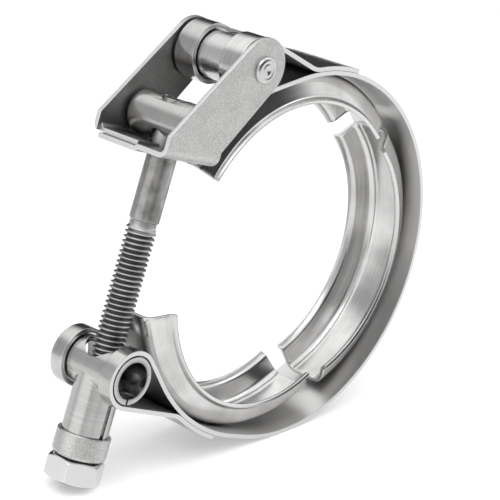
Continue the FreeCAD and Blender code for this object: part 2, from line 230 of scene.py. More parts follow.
# %% A section carried round its arc
def carried_round(start, end, weld, tight, ring_centre):
    """Point (g, u): the arc's centre plus (base radius + offset(u)) in direction g, and width(u)
    along Y. As t runs from 0 to 90 degrees, g steps in from each end by EDGE_R (1 - cos t) while
    the outline is drawn in by EDGE_R (1 - sin t), which rounds the sheared edge."""
    base_r = STRIP_IN_R + WELD_BITE - tight - SHEET / 2
    turn = math.radians(STAND_TURN)
    x = ring_centre[0] + tight * math.cos(math.radians(weld))
    z = ring_centre[1] + tight * math.sin(math.radians(weld))
    centre = np.array([x * math.cos(turn) - z * math.sin(turn), 0.0,
                       x * math.sin(turn) + z * math.cos(turn)])
    first, last = math.radians(start) + turn, math.radians(end) + turn
    count = int(round((end - start) / ARC_STEP))
    stepped = (EDGE_R / base_r) * (1 - np.cos(ROUND))
    drawn = EDGE_R * (1 - np.sin(ROUND))
    angles = np.concatenate([first + stepped, np.linspace(first, last, count + 1)[1:-1],
                             last - stepped[::-1]])
    inset = np.concatenate([drawn, np.zeros(count - 1), drawn[::-1]])
    outline = np.stack([np.concatenate([outer, inner[::-1]])
                        for outer, inner in (section_outline(v) for v in inset)])
    radius = base_r + outline[..., 0]
    points = centre + np.stack([radius * np.cos(angles)[:, None], outline[..., 1],
                                radius * np.sin(angles)[:, None]], -1)
    return points * MM, inset


# %% Faces between rings
def ring_faces(rows, cols):
    """Quads between neighbouring rings of a grid whose columns close on themselves."""
    i, j = np.meshgrid(np.arange(rows - 1), np.arange(cols), indexing="ij")
    k = (j + 1) % cols
    quads = np.stack([i * cols + j, i * cols + k, (i + 1) * cols + k, (i + 1) * cols + j], -1)
    return quads.reshape(-1, 4)


def smooth_mesh(name, verts, faces):
    """Mesh from points and faces, shaded smooth."""
    mesh = bpy.data.meshes.new(name)
    mesh.from_pydata(verts.tolist(), [], faces)
    mesh.polygons.foreach_set("use_smooth", np.ones(len(mesh.polygons), bool))
    return mesh


print("two rings of four points make", len(ring_faces(2, 4)), "quads")


# %% A retainer's mesh
def channel_mesh(name, points, inset):
    """Grid of outlines, closed at both ends by a ladder of quads between the outline's outer and inner
    halves. The attribute cut is 1 on the lips and on the rounded ends, for the painted highlight that the
    finish puts there."""
    rows, cols = points.shape[:2]
    rung = np.arange(cols // 2 - 1)
    ladder = np.stack([rung, cols - 1 - rung, cols - 2 - rung, rung + 1], -1)
    caps = np.concatenate([ladder, ladder[:, ::-1] + (rows - 1) * cols])
    faces = np.concatenate([ring_faces(rows, cols), caps]).tolist()
    mesh = smooth_mesh(name, points.reshape(-1, 3), faces)
    bm = bmesh.new()
    bm.from_mesh(mesh)
    bmesh.ops.recalc_face_normals(bm, faces=bm.faces)
    bm.to_mesh(mesh)
    bm.free()
    n = len(ROUND)
    lips = np.zeros(cols)
    lips[:n] = lips[-n:] = lips[cols // 2 - n:cols // 2 + n] = 1.0
    cut = np.maximum(np.broadcast_to(lips, (rows, cols)), (inset > EDGE_R * 0.2)[:, None])
    mesh.attributes.new("cut", "FLOAT", "POINT").data.foreach_set("value", cut.ravel().astype(np.float32))
    return mesh


def swept_retainer(name, node, start, end, weld, tight, ring_centre=(0.0, 0.0)):
    """Retainer from start to end, in degrees round the ring. It bends tighter than the strip by
    tight millimetres, and touches it only at the angle weld."""
    points, inset = carried_round(start, end, weld, tight, ring_centre)
    made = bpy.data.objects.new(name, channel_mesh(name, points, inset))
    scene.collection.objects.link(made)
    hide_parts(node)
    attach(made, "band")
    low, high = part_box(node)
    below = (points.min((0, 1)) - np.array(low)) / MM
    above = (points.max((0, 1)) - np.array(high)) / MM
    print(name, len(made.data.polygons), "faces; off the solid's box by",
          np.round(below, 2), np.round(above, 2), "mm")
    return made


# %% The three retainers
# the strip's lower left part has sprung open: the middle of its arc, in millimetres
SPRUNG_OPEN = (-3.9, 1.85)
pieces["retainer_lower"] = swept_retainer(
    "lower_channel", "retainer_lower", 178.5, 289.8, weld=251.5, tight=3.8, ring_centre=SPRUNG_OPEN)
pieces["retainer_side"] = swept_retainer(
    "side_channel", "retainer_side", 282.0, 395.1, weld=337.5, tight=4.0)
pieces["retainer_upper"] = swept_retainer(
    "upper_channel", "retainer_upper", 32.6, 135.9, weld=103.0, tight=2.2)

# %% [markdown]
# ## The hinge rivet
# The rivet's heads were pressed by a tool with a point and a ring, which left a dimple and a
# shallow groove. They could be cut into a cylinder, but a turned piece needs only its outline:
# radius against height, spun round the axis. The outline is written for one head and mirrored
# for the other.


# %% Close a grid of rings
def rings_to_mesh(name, points):
    """Close a grid of rings, rows along an axis and columns round it, with a pole at either end."""
    rows, cols = points.shape[:2]
    poles = np.stack([points[0].mean(axis=0), points[-1].mean(axis=0)])
    verts = np.concatenate([points.reshape(-1, 3), poles])
    j = np.arange(cols)
    k = (j + 1) % cols
    foot = np.stack([k, j, np.full(cols, rows * cols)], -1)
    top = (rows - 1) * cols
    head = np.stack([top + j, top + k, np.full(cols, rows * cols + 1)], -1)
    mesh = smooth_mesh(name, verts, ring_faces(rows, cols).tolist() + foot.tolist() + head.tolist())
    mesh.update()
    return mesh


# %% Spin the rivet's outline
RIVET_COLS = 64
RIVET_SHARP = math.radians(50)
# one head's outline as radius and height in millimetres, from its dimple out to its rim
RIVET_HEAD = np.array([
    (0.08, -0.24), (0.30, -0.22), (0.55, -0.12), (0.72, -0.03), (0.86, 0.0), (1.15, 0.0),
    (1.28, -0.05), (1.42, -0.07), (1.56, -0.05), (1.68, 0.0), (1.95, -0.01), (2.20, -0.06),
    (2.42, -0.18), (2.56, -0.34), (2.64, -0.54), (2.65, -0.70), (2.62, -0.78), (2.00, -0.80)])


def formed_rivet():
    """Surface (k, a): hinge axis + height(k) along Y + radius(k) (cos a first + sin a second),
    where first and second are square to Y and to each other."""
    low, high = (corner[1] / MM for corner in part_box("hinge_rivet"))
    outline = np.concatenate([RIVET_HEAD * (1, -1) + (0, low), (RIVET_HEAD + (0, high))[::-1]])
    first = np.cross(side, (0.0, 0.0, 1.0))
    second = np.cross(side, first)
    radius, height = (outline * MM).T
    a = np.linspace(0, 2 * math.pi, RIVET_COLS, endpoint=False)
    ring = np.cos(a)[:, None] * first + np.sin(a)[:, None] * second
    points = hinge_axis + height[:, None, None] * side + radius[:, None, None] * ring
    made = bpy.data.objects.new("formed_rivet", rings_to_mesh("formed_rivet", points))
    made.data.set_sharp_from_angle(angle=RIVET_SHARP)
    scene.collection.objects.link(made)
    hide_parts("hinge_rivet")
    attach(made, "latch")
    print("rivet is", round(high - low, 2), "mm long,", len(made.data.polygons), "faces")
    return made


pieces["hinge_rivet"] = formed_rivet()

# %% [markdown]
# ## The bolt's thread
# An M6 thread is a groove, its flanks 60 degrees apart, that climbs 1 mm a turn. It is rolled, so its
# crests are a little rounded and its roots are round. A stack of rings would look like a thread
# from far off, but it would not climb. Here the whole bolt is one surface of two parameters: a
# turn angle, and a height up the bolt. The radius follows the thread's profile at the phase
# height minus angle, so a single formula gives crests, flanks and roots.

# %% Sizes of the bolt in millimetres, its levels measured up from the lower axis
PITCH = 1.0
CREST_R = 3.0
ROOT_R = 2.40
THREAD_LOW = -15.0
TIP_BEVEL = 0.6
TIP_LENGTH = 0.8
THREAD_HIGH = 27.8
RUNOUT = 1.2
NECK_R = 2.60
NECK_LOW_SLOPE = 0.5
NECK_HIGH = 29.2
NECK_HIGH_SLOPE = 0.35
SHANK_R = 2.93
BAR_R = 4.4
HEAD_SET = 0.35
RIM = 0.15
RIM_ROWS = (0.2, 0.12, 0.05, 0.0)
bar_middle = np.array(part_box("cross_bar")[0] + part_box("cross_bar")[1]) / 2
BAR_LEVEL = float(np.linalg.norm(bar_middle - lower_axis)) / MM
print("cross bar is", round(BAR_LEVEL, 2), "mm above the lower axis")


# %% One turn of the profile
def eased(t):
    """Slope from 0 to 1 with a soft start and end."""
    return t * t * (3.0 - 2.0 * t)


def rise(h, foot, length):
    """0 below foot, 1 above foot + length, and straight between."""
    return np.clip((h - foot) / length, 0.0, 1.0)


def tooth(phase):
    """Thread depth from 0 at the crest to 1 at the root.
    A triangle wave of the phase with its crest cut flat and its root rounded."""
    crest_flat, flank, roundness = 0.14, 0.66, 0.45
    wave = 1.0 - np.abs(2.0 * (phase - np.floor(phase)) - 1.0)
    ramp = rise(wave, crest_flat, flank)
    return eased(ramp) * roundness + ramp * (1.0 - roundness)


print("depth over half a pitch", np.round(tooth(np.linspace(0.0, 0.5, 5)), 2))


# %% The whole bolt
TURN_STEPS = 72
PITCH_STEPS = 22
SHANK_STEPS = 40


def bolt_radius(h, a):
    """Below the neck: crest radius less groove depth times tooth(h - a / 2 pi), inside a short
    cone at the lower end and fading out at the upper one. Above: the neck, then the plain shank
    up to its rounded rim."""
    depth = tooth(h / PITCH - a / (2.0 * math.pi)) * eased(1.0 - rise(h, THREAD_HIGH - RUNOUT, RUNOUT))
    tip = CREST_R - TIP_BEVEL * (1.0 - rise(h, THREAD_LOW, TIP_LENGTH))
    r = np.minimum(CREST_R - (CREST_R - ROOT_R) * depth, tip)
    into_neck = rise(h, THREAD_HIGH - NECK_LOW_SLOPE, NECK_LOW_SLOPE)
    r = r * (1 - into_neck) + NECK_R * into_neck
    r = r + (SHANK_R - r) * eased(rise(h, NECK_HIGH - NECK_HIGH_SLOPE, NECK_HIGH_SLOPE))
    rim = rise(h, BAR_LEVEL + BAR_R - HEAD_SET - RIM, RIM)
    return r - RIM * (1.0 - np.sqrt(1.0 - rim * rim))


def threaded_bolt():
    """Surface of the bolt: x = r cos a, y = r sin a, z = h, carried to the bolt's own axis. The
    attribute root is how deep in the groove a point lies, for the finish to read."""
    head = BAR_LEVEL + BAR_R - HEAD_SET
    heights = np.concatenate([
        np.arange(THREAD_LOW, NECK_HIGH, PITCH / PITCH_STEPS),
        np.linspace(NECK_HIGH, head - RIM_ROWS[0], SHANK_STEPS),
        [head - down for down in RIM_ROWS[1:]]])
    a = np.linspace(0.0, 2.0 * math.pi, TURN_STEPS, endpoint=False)
    h, a = np.meshgrid(heights, a, indexing="ij")
    r = bolt_radius(h, a)
    local = np.stack([r * np.cos(a), r * np.sin(a), h], -1) * MM
    placed = (lower_axis + local[..., 0:1] * across + local[..., 1:2] * side
              + local[..., 2:3] * up_bolt)
    mesh = rings_to_mesh("bolt_thread", placed)
    groove = np.clip((CREST_R - r) / (CREST_R - ROOT_R), 0, 1) * (h < THREAD_HIGH)
    root = np.concatenate([groove.ravel(), [0.0, 0.0]])
    mesh.attributes.new("root", "FLOAT", "POINT").data.foreach_set("value", root.astype(np.float32))
    return mesh


bolt = bpy.data.objects.new("bolt_thread", threaded_bolt())
scene.collection.objects.link(bolt)
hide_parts("bolt_shank")
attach(bolt, "bolt")
print("bolt has", len(bolt.data.polygons), "faces")

# %% [markdown]
# ## Effects that several finishes share
# Rolled strip carries streaks that follow the strip, so here they follow the ring. Tumbled sheet
# carries a fine grain without direction, and turned bar carries fine rings. Each is put in a node
# group with named sockets, built once and placed in each finish with its own numbers, because
# copies of the same nodes would drift apart the first time one of them is changed.


# %% A small helper for node trees
class Maker:
    """Writes nodes into a tree one after the other and links them."""

    def __init__(self, tree):
        self.tree = tree

    def node(self, kind, inputs=None, **settings):
        made = self.tree.nodes.new(kind)
        for key, value in settings.items():
            setattr(made, key, value)
        for key, value in (inputs or {}).items():
            self.feed(made.inputs[key], value)
        return made

    def feed(self, socket, value):
        if isinstance(value, bpy.types.NodeSocket):
            self.tree.links.new(value, socket)
        else:
            socket.default_value = value

    def math(self, operation, a, b=0.0, c=0.0, clamp=False):
        return self.node("ShaderNodeMath", {0: a, 1: b, 2: c},
                         operation=operation, use_clamp=clamp).outputs[0]

    def times(self, a, b):
        return self.math("MULTIPLY", a, b)

    def plus(self, a, b, clamp=False):
        return self.math("ADD", a, b, clamp=clamp)

    def larger(self, a, b):
        return self.math("MAXIMUM", a, b)

    def vector(self, operation, a, b=None):
        given = {0: a} if b is None else {0: a, 1: b}
        return self.node("ShaderNodeVectorMath", given, operation=operation).outputs

    def dot(self, a, b):
        return self.vector("DOT_PRODUCT", a, b)["Value"]

    def place(self):
        return self.node("ShaderNodeTexCoord").outputs["Object"]

    def normal(self):
        return self.node("ShaderNodeTexCoord").outputs["Normal"]

    def parts(self, vector):
        return self.node("ShaderNodeSeparateXYZ", {"Vector": vector}).outputs

    def noise(self, vector, scale, detail=3.0, roughness=0.55):
        return self.node("ShaderNodeTexNoise", {
            "Vector": vector, "Scale": scale, "Detail": detail, "Roughness": roughness}).outputs["Fac"]

    def between(self, value, low, high, to_low=0.0, to_high=1.0, kind="LINEAR"):
        return self.node("ShaderNodeMapRange", {
            "Value": value, "From Min": low, "From Max": high,
            "To Min": to_low, "To Max": to_high}, interpolation_type=kind).outputs["Result"]

    def soft(self, value, low, high, to_low=0.0, to_high=1.0):
        return self.between(value, low, high, to_low, to_high, "SMOOTHSTEP")

    def mix(self, factor, first, second):
        return self.node("ShaderNodeMix", {0: factor, 6: first, 7: second}, data_type="RGBA").outputs[2]

    def effect(self, tree, inputs):
        return self.node("ShaderNodeGroup", inputs, node_tree=tree).outputs

    def relief(self, height, distance, strength=1.0):
        return self.node("ShaderNodeBump", {
            "Strength": strength, "Distance": distance, "Height": height}).outputs[0]


print("a maker writes:", ", ".join(word for word in vars(Maker) if word[0] != "_"))


# %% Start of a node group
def group(name, inputs, outputs):
    """Empty node group with named sockets: float or vector."""
    tree = bpy.data.node_groups.new(name, "ShaderNodeTree")
    for label, kind, value in inputs:
        socket = tree.interface.new_socket(label, in_out="INPUT", socket_type="NodeSocket" + kind)
        socket.default_value = value
    for label, kind in outputs:
        tree.interface.new_socket(label, in_out="OUTPUT", socket_type="NodeSocket" + kind)
    m = Maker(tree)
    given = m.node("NodeGroupInput").outputs
    out = m.node("NodeGroupOutput").inputs
    print("group", name, "gives", ", ".join(label for label, kind in outputs))
    return tree, m, given, out


# %% Rolling streaks that follow the ring
def rolling_streaks():
    """Noise read at (angle round the ring, place across it, radius), stretched along the angle."""
    tree, m, given, out = group(
        "rolling streaks",
        [("Across", "Float", 2600.0), ("Deep", "Float", 2600.0), ("Along", "Float", 2.2)],
        [("Streak", "Float"), ("Cloud", "Float")])
    place = m.place()
    xyz = m.parts(place)
    squares = m.plus(m.times(xyz["X"], xyz["X"]), m.times(xyz["Z"], xyz["Z"]))
    where = m.node("ShaderNodeCombineXYZ", {
        "X": m.times(m.math("ARCTAN2", xyz["Z"], xyz["X"]), given["Along"]),
        "Y": m.times(xyz["Y"], given["Across"]),
        "Z": m.times(m.math("POWER", squares, 0.5), given["Deep"])}).outputs[0]
    m.feed(out["Streak"], m.math("SUBTRACT", m.noise(where, 1.0, 4.0, 0.6), 0.5))
    m.feed(out["Cloud"], m.noise(place, 140.0, 2.0, 0.5))
    return tree


STREAKS = rolling_streaks()


# %% Tumbled grain
PIT_RELIEF = 0.2 * MM


def tumbled_grain():
    """Two sizes of noise: pits a fifth of a millimetre wide, and soft patches of a few
    millimetres."""
    tree, m, given, out = group(
        "tumbled grain",
        [("Pit Scale", "Float", 5200.0), ("Patch Scale", "Float", 260.0), ("Depth", "Float", 0.02)],
        [("Grain", "Float"), ("Patch", "Float"), ("Normal", "Vector")])
    place = m.place()
    pits = m.noise(place, given["Pit Scale"], 3.0, 0.65)
    m.feed(out["Grain"], pits)
    m.feed(out["Patch"], m.noise(place, given["Patch Scale"]))
    m.feed(out["Normal"], m.relief(pits, PIT_RELIEF, given["Depth"]))
    return tree


GRAIN = tumbled_grain()


# %% Sheared edges
def sheared_edge():
    """How far a face looks away from two directions: 1 where both |n . First| and |n . Second|
    are small. Sheared edges of a sheet look that way, its rolled faces don't."""
    tree, m, given, out = group(
        "sheared edge",
        [("First", "Vector", (0.0, 1.0, 0.0)), ("Second", "Vector", (0.0, 0.0, 1.0))],
        [("Edge", "Float")])
    normal = m.normal()
    sides = [m.math("ABSOLUTE", m.dot(normal, given[name])) for name in ("First", "Second")]
    m.feed(out["Edge"], m.soft(m.larger(*sides), 0.45, 0.75, 1.0, 0.0))
    return tree


SHEARED = sheared_edge()


# %% Turning marks round an axis
def turning_marks():
    """Fine rings round a line: noise read at the height along it, with a slow wander."""
    tree, m, given, out = group(
        "turning marks",
        [("Axis", "Vector", (0.0, 0.0, 1.0)), ("Rings", "Float", 9000.0), ("Wander", "Float", 60.0)],
        [("Ring", "Float"), ("Patch", "Float")])
    place = m.place()
    height = m.dot(place, given["Axis"])
    slow = m.node("ShaderNodeVectorMath", {0: place, "Scale": given["Wander"]}, operation="SCALE").outputs[0]
    line = m.node("ShaderNodeCombineXYZ", {"X": m.times(height, given["Rings"])}).outputs[0]
    m.feed(out["Ring"], m.noise(m.vector("ADD", slow, line)[0], 1.0, 2.0, 0.5))
    m.feed(out["Patch"], m.noise(place, 320.0, 2.0, 0.5))
    return tree


MARKS = turning_marks()


# %% A round mark, such as a spot weld's
def round_mark_group():
    """Dish and halo round a line: distance from the line through Foot along Line, in radii."""
    tree, m, given, out = group(
        "round mark",
        [("Foot", "Vector", (0.0, 0.0, 0.0)), ("Line", "Vector", (0.0, 0.0, 1.0)),
         ("Radius", "Float", 0.0014)],
        [("Dish", "Float"), ("Halo", "Float")])
    off = m.vector("SUBTRACT", m.place(), given["Foot"])[0]
    turn = m.vector("CROSS_PRODUCT", off, given["Line"])[0]
    radii = m.math("DIVIDE", m.vector("LENGTH", turn)["Value"], given["Radius"])
    m.feed(out["Dish"], m.soft(radii, 0.75, 1.05, 1.0, 0.0))
    m.feed(out["Halo"], m.soft(radii, 0.9, 2.0, 1.0, 0.0))
    return tree


ROUND_MARK = round_mark_group()

# %% [markdown]
# ## Finishes
# All of it is stainless steel, so metalness is 1 and the colour is nearly grey. One material for
# the whole clamp would be simpler, but strip, sheet and bar are told apart by how the light
# spreads on them: bright rolled strip, softly streaked retainers, matte tumbled latch plates, and a
# bright turned nut. So each gets a material of its own, made by a few short functions.


# %% Start of a steel
def grey(value):
    """Steel's grey, which is a trace warmer than neutral."""
    return (value, value - 0.005, value - 0.01, 1.0)


def steel(name, colour):
    """Material with a metal shader of one colour; returns it, its maker and the shader."""
    material = bpy.data.materials.new(name)
    material.use_nodes = True
    shader = material.node_tree.nodes["Principled BSDF"]
    shader.inputs["Metallic"].default_value = 1.0
    shader.inputs["Base Color"].default_value = colour
    return material, Maker(material.node_tree), shader


def finish(m, shader, colour, roughness, normal=None):
    """Feed the shader what changes over the surface."""
    m.feed(shader.inputs["Base Color"], colour)
    m.feed(shader.inputs["Roughness"], roughness)
    if normal is not None:
        m.feed(shader.inputs["Normal"], normal)


print("steel's grey at 0.6 is", grey(0.6))

# %% [markdown]
# ## Rolled strip and pressed retainers
# Rolling draws the surface out in fine streaks. The cut edges are painted paler, a painted highlight. The
# strip's inner side is more satin than its outer side, and it is painted paler too, as painted light.
# Streaks could be painted on, but noise that is read along the ring follows every bend by itself. The edges
# are found from the normal on the strip, and from the attribute cut on the retainers. Each spot weld leaves
# a shallow dish with a darker, slightly warm halo.


# %% Where a strip or a retainer was cut, and which side is the inner one
def strip_edge(m):
    """Strip's cut edges look along Y."""
    return m.between(m.math("ABSOLUTE", m.parts(m.normal())["Y"]), 0.6, 0.9)


def channel_edge(m):
    """Retainers carry an attribute that is 1 on their lips and sheared ends."""
    return m.node("ShaderNodeAttribute", attribute_name="cut").outputs["Fac"]


def toward_axis(m):
    """1 on faces that look in at the ring's axis, 0 on all others, from the dot product of the
    normal and the direction out from the axis, which is -1 on such a face."""
    flat = m.vector("MULTIPLY", m.place(), (1.0, 0.0, 1.0))[0]
    out = m.vector("NORMALIZE", flat)[0]
    return m.between(m.dot(m.normal(), out), -0.5, -0.8)


def outward(ring_angle):
    """Line through the ring's middle, square to its axis, as a point and a direction."""
    a = math.radians(ring_angle)
    return (0.0, 0.0, 0.0), (math.cos(a), 0.0, math.sin(a))


# %% Rolled steel
# pale grey painted on cut edges: a painted highlight
EDGE_HIGHLIGHT_PAINT = (0.64, 0.64, 0.635, 1.0)
WELD_TINT = (0.42, 0.40, 0.37, 1.0)
# paler grey painted on the side towards the ring's axis: painted light
INNER_SIDE_PAINTED_LIGHT = grey(0.70)


def rolled_steel(name, dark, light, rough, streak_rough, bump, deep, edge_of, welds=(),
                 satin_inside=0.0):
    """Streaked steel. satin_inside is how much rougher the side towards the ring's axis is, and that side is
    also painted paler, as painted light. Cut edges are painted paler, a painted highlight."""
    material, m, shader = steel(name, light)
    lines = m.effect(STREAKS, {"Deep": deep})
    streak = height = lines["Streak"]
    tone = m.plus(m.times(streak, 1.1), m.between(lines["Cloud"], 0.3, 0.7), clamp=True)
    colour = m.mix(tone, dark, light)
    spread = m.plus(m.times(streak, streak_rough), rough)
    if satin_inside:
        inner = toward_axis(m)
        spread = m.plus(spread, m.times(inner, satin_inside))
        # painted light: the side towards the ring's axis is painted paler
        colour = m.mix(m.times(inner, 0.85), colour, INNER_SIDE_PAINTED_LIGHT)
    for foot, line in welds:
        mark = m.effect(ROUND_MARK, {"Foot": foot, "Line": line})
        colour = m.mix(m.times(mark["Halo"], 0.35), colour, WELD_TINT)
        height = m.math("SUBTRACT", height, m.times(mark["Dish"], 14.0))
        spread = m.plus(spread, m.times(mark["Dish"], 0.12))
    cut = edge_of(m)
    # the cut edges are painted paler: a painted highlight
    finish(m, shader, m.mix(cut, colour, EDGE_HIGHLIGHT_PAINT), m.plus(spread, m.times(cut, 0.08)),
           m.relief(height, bump * MM))
    return material


weld_angles = (77.0, 344.5, 250.0, 112.0)
strip_steel = rolled_steel("strip steel", grey(0.44), grey(0.62), rough=0.17, streak_rough=0.08,
                           bump=0.0008, deep=0.0, edge_of=strip_edge, satin_inside=0.22,
                           welds=[outward(angle) for angle in weld_angles])
retainer_steel = rolled_steel("retainer steel", grey(0.50), grey(0.68), rough=0.18, streak_rough=0.06,
                              bump=0.0004, deep=2600.0, edge_of=channel_edge)
print("rolled finishes:", strip_steel.name, "and", retainer_steel.name)

# %% [markdown]
# ## Tumbled plates and collar
# Tumbling with stones takes the burrs off the latch plates and leaves them matte, with a fine even grain. A
# flat grey with high roughness would look like paint, so the grain moves colour, roughness and relief
# together. The plates' sheared edges are painted paler, a painted highlight, and the sides that face each
# other are darkened with painted shade.

# %% Tumbled steel
# pale grey painted on the plates' sheared edges: a painted highlight
PLATE_EDGE_HIGHLIGHT = (0.76, 0.76, 0.755, 1.0)
# dark grey mixed into the plates' facing sides: painted shade between the plates
PLATE_INNER_SHADE_PAINT = (0.10, 0.098, 0.096, 1.0)


def inner_painted_shade(m, colour, cut, plate_in):
    """Painted shade: darker where |y| is under plate_in and the face isn't cut, nor looks down the bolt."""
    y = m.parts(m.place())["Y"]
    outside = m.between(m.math("ABSOLUTE", y), plate_in * MM, (plate_in + 0.3) * MM)
    beneath = m.between(m.dot(m.normal(), tuple(up_bolt)), -0.2, -0.6)
    outside = m.larger(m.larger(outside, beneath), cut)
    # painted shade: the facing sides are mixed half way to a dark grey
    return m.mix(outside, m.mix(0.5, colour, PLATE_INNER_SHADE_PAINT), colour)


def tumbled_steel(name, dark, light, rough, pits=4200.0, edge=1.0, plate_in=None):
    """Grained steel. edge is how much paler the sheared edges are painted, as a painted highlight, plate_in
    the plates' inner face, in millimetres from the middle plane, inside which the plates are darkened with
    painted shade."""
    material, m, shader = steel(name, light)
    grain = m.effect(GRAIN, {"Pit Scale": pits, "Depth": 0.30})
    tone = m.plus(m.between(grain["Grain"], 0.38, 0.62, 0.0, 0.8),
                  m.between(grain["Patch"], 0.35, 0.65, 0.0, 0.2), clamp=True)
    cut = m.effect(SHEARED, {"Second": tuple(up_bolt)})["Edge"]
    # the sheared edges are painted paler: a painted highlight
    colour = m.mix(m.times(cut, edge), m.mix(tone, dark, light), PLATE_EDGE_HIGHLIGHT)
    if plate_in:
        # painted shade on the sides of the plates that face each other
        colour = inner_painted_shade(m, colour, cut, plate_in)
    spread = m.between(grain["Grain"], 0.3, 0.7, rough + 0.06, rough - 0.04)
    finish(m, shader, colour, spread, grain["Normal"])
    return material


plate_steel = tumbled_steel("plate steel", grey(0.38), grey(0.64), rough=0.34, pits=4800.0, plate_in=8.95)
collar_steel = tumbled_steel("collar steel", grey(0.40), grey(0.64), rough=0.27, edge=0.0)
print("tumbled finishes:", plate_steel.name, "and", collar_steel.name)

# %% [markdown]
# ## Turned pieces
# Pins, cross bar and nut come off a lathe, so fine rings run round each of them, and on the trunnion they
# run round its stem. A bump of rings alone would shimmer, so the rings mostly change the colour a little.
# Inside the tube's bore, and in the cross bar's recess round the shank, shade is painted: a round mark along
# the axis of each darkens it.

# %% Turned steel
# near black painted inside bores and recesses: painted shade
BORE_PAINTED_SHADE = (0.07, 0.068, 0.066, 1.0)


def bore_mask(m, foot, line, radius, top=None):
    """1 within radius millimetres of a line, and only below top where one is given, which is a
    level in metres along the line's direction."""
    inside = m.effect(ROUND_MARK, {
        "Foot": tuple(foot), "Line": tuple(line), "Radius": radius * MM})["Dish"]
    if top is None:
        return inside
    level = m.dot(m.place(), tuple(line))
    return m.times(inside, m.between(level, top - 0.6 * MM, top + 0.2 * MM, 1.0, 0.0))


def turned_steel(name, axis, dark, light, rough, bump=0.0002, bore=None):
    """Steel with rings round an axis. bore holds what bore_mask needs after the maker, to darken a bore or
    recess with painted shade.
    """
    material, m, shader = steel(name, light)
    marks = m.effect(MARKS, {"Axis": tuple(axis)})
    colour = m.mix(m.between(marks["Ring"], 0.3, 0.7), dark, light)
    if bore:
        # painted shade inside the bore or recess
        colour = m.mix(bore_mask(m, *bore), colour, BORE_PAINTED_SHADE)
    spread = m.between(marks["Patch"], 0.3, 0.7, rough - 0.03, rough + 0.05)
    finish(m, shader, colour, spread, m.relief(marks["Ring"], bump * MM))
    return material


lower_level = float(np.dot(lower_axis, up_bolt))
recess_top = lower_level + (BAR_LEVEL - 1.2) * MM
pin_steel = turned_steel("pin steel", side, grey(0.50), grey(0.62), rough=0.24)
bar_steel = turned_steel("cross bar steel", side, grey(0.45), grey(0.49), rough=0.20, bump=0.0,
                         bore=(lower_axis, up_bolt, 4.4, recess_top))
tube_steel = turned_steel("tube steel", up_bolt, grey(0.44), grey(0.54), rough=0.20,
                          bore=(lower_axis, side, 4.2))
nut_steel = turned_steel("nut steel", up_bolt, (0.76, 0.76, 0.755, 1.0), (0.84, 0.84, 0.835, 1.0),
                         rough=0.12)
turned_finishes = (pin_steel, bar_steel, tube_steel, nut_steel)
print("turned finishes:", ", ".join(made.name for made in turned_finishes))

# %% [markdown]
# ## The thread
# The thread's roots are darkened with painted shade, and its crests keep the plain steel's tones. A picture
# of a thread would slide off the real grooves, so the colour follows the attribute root, which was measured
# while the groove was made. Above the thread the shank is darker and blotched, as in the photograph.

# %% Thread, darker in its roots
# near black painted into the thread's roots: painted shade
ROOT_PAINTED_SHADE = (0.07, 0.069, 0.068, 1.0)
SHANK_DARK = (0.22, 0.216, 0.212, 1.0)


def thread_steel():
    """Two tones by patches on the thread, two darker ones above it, and roots darkened with painted shade.
    """
    material, m, shader = steel("thread steel", (0.60, 0.59, 0.58, 1.0))
    root = m.node("ShaderNodeAttribute", attribute_name="root").outputs["Fac"]
    patch = m.effect(MARKS, {"Axis": tuple(up_bolt)})["Patch"]
    blotch = m.between(patch, 0.35, 0.65)
    runout = lower_level + THREAD_HIGH * MM
    above = m.between(m.dot(m.place(), tuple(up_bolt)), runout, runout + 0.5 * MM)
    crest = m.mix(blotch, grey(0.42), grey(0.56))
    shank = m.mix(blotch, SHANK_DARK, grey(0.40))
    # painted shade: the roots are darkened by how deep they lie in the groove
    colour = m.mix(m.math("POWER", root, 2.2), m.mix(above, crest, shank), ROOT_PAINTED_SHADE)
    finish(m, shader, colour, m.plus(m.between(patch, 0.3, 0.7, 0.24, 0.34), m.times(root, 0.12)))
    return material


bolt_finish = thread_steel()
print("bolt finish:", bolt_finish.name)

# %% [markdown]
# ## Putting the finishes on
# Each dressed piece takes its finish, and so does the solid that it stands in for, so that both
# show the same steel wherever one of them is looked at alone. Only the bolt's solid keeps what it
# had, because the thread's finish reads an attribute that the plain rod doesn't carry.

# %% Put the finishes on
finish_of = {
    "band_strip": strip_steel, "retainer_lower": retainer_steel, "retainer_side": retainer_steel,
    "retainer_upper": retainer_steel, "latch_near_half": plate_steel, "latch_far_half": plate_steel,
    "hinge_rivet": pin_steel, "hinge_bush": pin_steel, "cross_bar": bar_steel, "trunnion": tube_steel,
    "stem_collar": collar_steel, "barrel_nut": nut_steel}
for node, material in finish_of.items():
    pieces[node].data.materials.append(material)
    frame["nodes"][node].data.materials.clear()
    frame["nodes"][node].data.materials.append(material)
bolt.data.materials.append(bolt_finish)
print(len(finish_of) + 1, "pieces have a finish")

# %% [markdown]
# ## Floor and background
# Polished steel shows the room more than itself, so the room matters as much as the finishes. The
# floor is white paper that keeps the clamp's shadow. Paper lit by lamps alone comes out grey, and
# stronger lamps would burn out the steel, so the paper glows a little: more for the camera than
# for reflections. The world behind it is plain white, and a little less bright as a light.


# %% Floor
FLOOR_HALF = 3.0
CAMERA_GLOW = 0.27
MIRROR_GLOW = 0.14


def mirrored(m, path):
    """1 for rays that leave a mirror or glass, 0 for others."""
    return m.larger(path["Is Glossy Ray"], path["Is Transmission Ray"])


